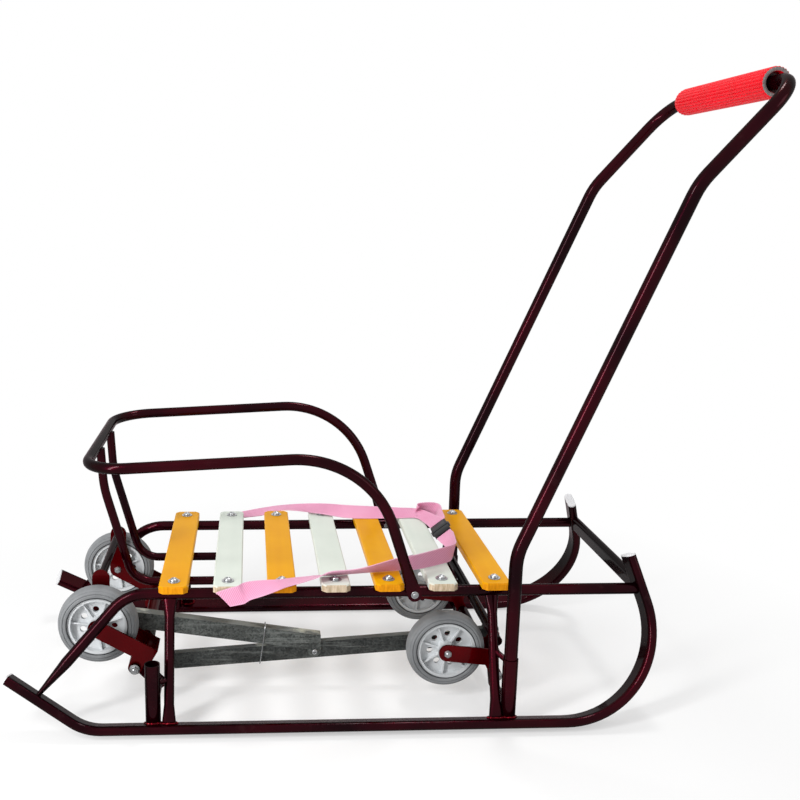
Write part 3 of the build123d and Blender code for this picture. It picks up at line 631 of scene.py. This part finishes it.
# Stage, light and camera
WHITE, PALE, AMBIENT, HALF_FLOOR = (1.0, 1.0, 1.0, 1.0), (0.92, 0.92, 0.92, 1.0), 0.45, 9
floor_mesh = bpy.data.meshes.new("studio_floor")
corners = [(x * HALF_FLOOR, y * HALF_FLOOR, 0) for x, y in ((-1, -1), (1, -1), (1, 1), (-1, 1))]
floor_mesh.from_pydata(corners, [], [(0, 1, 2, 3)])
ground = Finish("pale_floor", Roughness=0.9, Specular_IOR_Level=0.1)
matt = ground.node("ShaderNodeBsdfPrincipled", None, {**ground.constants, "Base Color": PALE})
away = ground.node("ShaderNodeVectorMath", {"operation": "LENGTH"}, {0: ground.place}, out=1)
glow = ground.node("ShaderNodeEmission", None, {"Color": WHITE, "Strength": 1.0})
share = (ground.between(away, 0.30, 0.90) * 0.55 + 0.45) * ground.seen()
blend = ground.node("ShaderNodeMixShader", None, {0: share, 1: matt, 2: glow})
ground.node("ShaderNodeOutputMaterial", None, {0: blend})
floor_mesh.materials.append(ground.material)
floor = bpy.data.objects.new("studio_floor", floor_mesh)
bpy.context.scene.collection.objects.link(floor)
floor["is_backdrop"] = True

world = bpy.data.worlds.new("studio_light")
bpy.context.scene.world = world
world.use_nodes = True
sky = Tree(world.node_tree)
level = sky.seen() * (1 - AMBIENT) + AMBIENT
backdrop = sky.node("ShaderNodeBackground", None, {"Color": WHITE, "Strength": level})
sky.node("ShaderNodeOutputWorld", None, {0: backdrop})


def lamp(name, where, to, wide, tall, watts):
    """Flat lamp of a width and height at a place, turned to a point."""
    data = bpy.data.lights.new(name, "AREA")
    data.shape, data.size, data.size_y, data.energy = "RECTANGLE", wide, tall, watts
    made = bpy.data.objects.new(name, data)
    bpy.context.scene.collection.objects.link(made)
    made.location = where
    made.rotation_euler = (Vector(to) - Vector(where)).to_track_quat("-Z", "Y").to_euler()


lamp("key_light", (-1.4, -1.3, 2.2), (0, 0, 0.3), 0.35, 0.35, 12)
lamp("top_light", (0.4, 0.5, 2.6), (0, 0, 0.2), 0.45, 0.45, 18)
lamp("fill_light", (1.9, -1.4, 1.3), (0.1, 0, 0.3), 0.9, 0.9, 6)
lamp("side_light", (-1.3, -1.1, 0.95), (0.25, -0.1, 0.45), 0.2, 1.4, 26)

# Camera fitted to the photograph: turns, place in metres, focal length and image centre in its pixels
YAW, PITCH, ROLL = (math.radians(d) for d in (2.66, 13.19, 0.38))
EYE_X, EYE_Y, EYE_Z = -0.0251, -1.3920, 0.7141
SENSOR, PHOTO_PX, FOCAL_PX, CENTRE_X_PX, CENTRE_Y_PX = 36.0, 800, 954.465, 294.08, 425.53
ahead = Vector((math.sin(YAW) * math.cos(PITCH), math.cos(YAW) * math.cos(PITCH), -math.sin(PITCH)))
right = Vector((math.cos(YAW), -math.sin(YAW), 0))
up = right.cross(ahead)
right, up = math.cos(ROLL) * right + math.sin(ROLL) * up, -math.sin(ROLL) * right + math.cos(ROLL) * up
eye = bpy.data.cameras.new("photo_view")
eye.sensor_width, eye.lens = SENSOR, FOCAL_PX / PHOTO_PX * SENSOR
eye.shift_x, eye.shift_y = (PHOTO_PX / 2 - CENTRE_X_PX) / PHOTO_PX, (CENTRE_Y_PX - PHOTO_PX / 2) / PHOTO_PX
eye.clip_start, eye.clip_end = 0.05, 60
camera = bpy.data.objects.new("photo_view", eye)
bpy.context.scene.collection.objects.link(camera)
view_turn = Matrix((right, up, -ahead)).transposed().to_4x4()
camera.matrix_world = Matrix.Translation((EYE_X - SHIFT, EYE_Y, EYE_Z)) @ view_turn
bpy.context.scene.camera = camera
bpy.context.scene.view_settings.view_transform = "Standard"

low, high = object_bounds()
